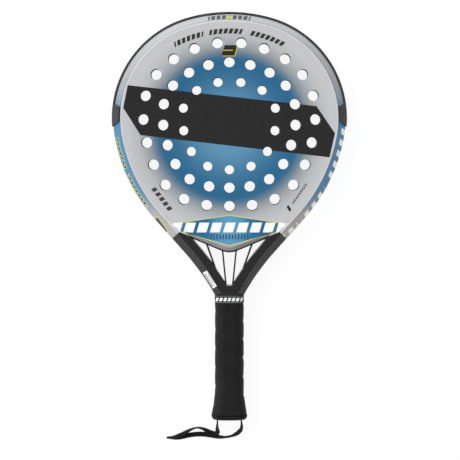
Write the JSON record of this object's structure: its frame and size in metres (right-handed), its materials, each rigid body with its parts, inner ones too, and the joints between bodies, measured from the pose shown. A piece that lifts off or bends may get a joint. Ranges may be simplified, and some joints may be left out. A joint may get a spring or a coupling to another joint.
{
  "type": "padel racket",
  "caption": "Round-headed padel racket with a perforated face, an open heart with thin struts, a wrapped grip and a wrist strap.",
  "frame": {"origin": "under the middle of the racket, on the surface that its back face lies on", "axes": "+Y along the racket from the handle to the crown of the head, +X across the head, +Z out of the front face"},
  "size_m": [0.26, 0.4765, 0.038],
  "materials": {
    "frame_laminate": "lacquered carbon and glass laminate, silver, blue and black paint",
    "front_laminate": "lacquered laminate, silver with blue and black print",
    "back_laminate": "lacquered laminate, silver with blue and black print",
    "core_foam": "dark grey closed-cell EVA foam",
    "handle_foam": "cream polyurethane filler foam",
    "bumper_elastomer": "black moulded polyurethane",
    "strut_plastic": "black nylon",
    "cap_plastic": "black rubbery plastic",
    "grip_cushion": "black perforated synthetic leather on a thin cushion",
    "collar_tape": "black elastic band with pale edge lines",
    "strap_webbing": "black woven polyester lace",
    "sticker_vinyl": "white printed label"
  },
  "bodies": {
    "root": {"frame_tube": "frame_laminate", "bridge_tube": "frame_laminate", "front_face": "front_laminate", "back_face": "back_laminate", "foam_core": "core_foam", "handle_foam": "handle_foam", "head_bumper": "bumper_elastomer", "throat_strut_left_outer": "strut_plastic", "throat_strut_left_inner": "strut_plastic", "throat_strut_right_outer": "strut_plastic", "throat_strut_right_inner": "strut_plastic", "butt_cap": "cap_plastic", "cushion_grip": "grip_cushion", "collar_band": "collar_tape", "wrist_strap": "strap_webbing", "strap_knot_left": "strap_webbing", "strap_knot_right": "strap_webbing", "inspection_sticker": "sticker_vinyl"}
  },
  "joints": []
}
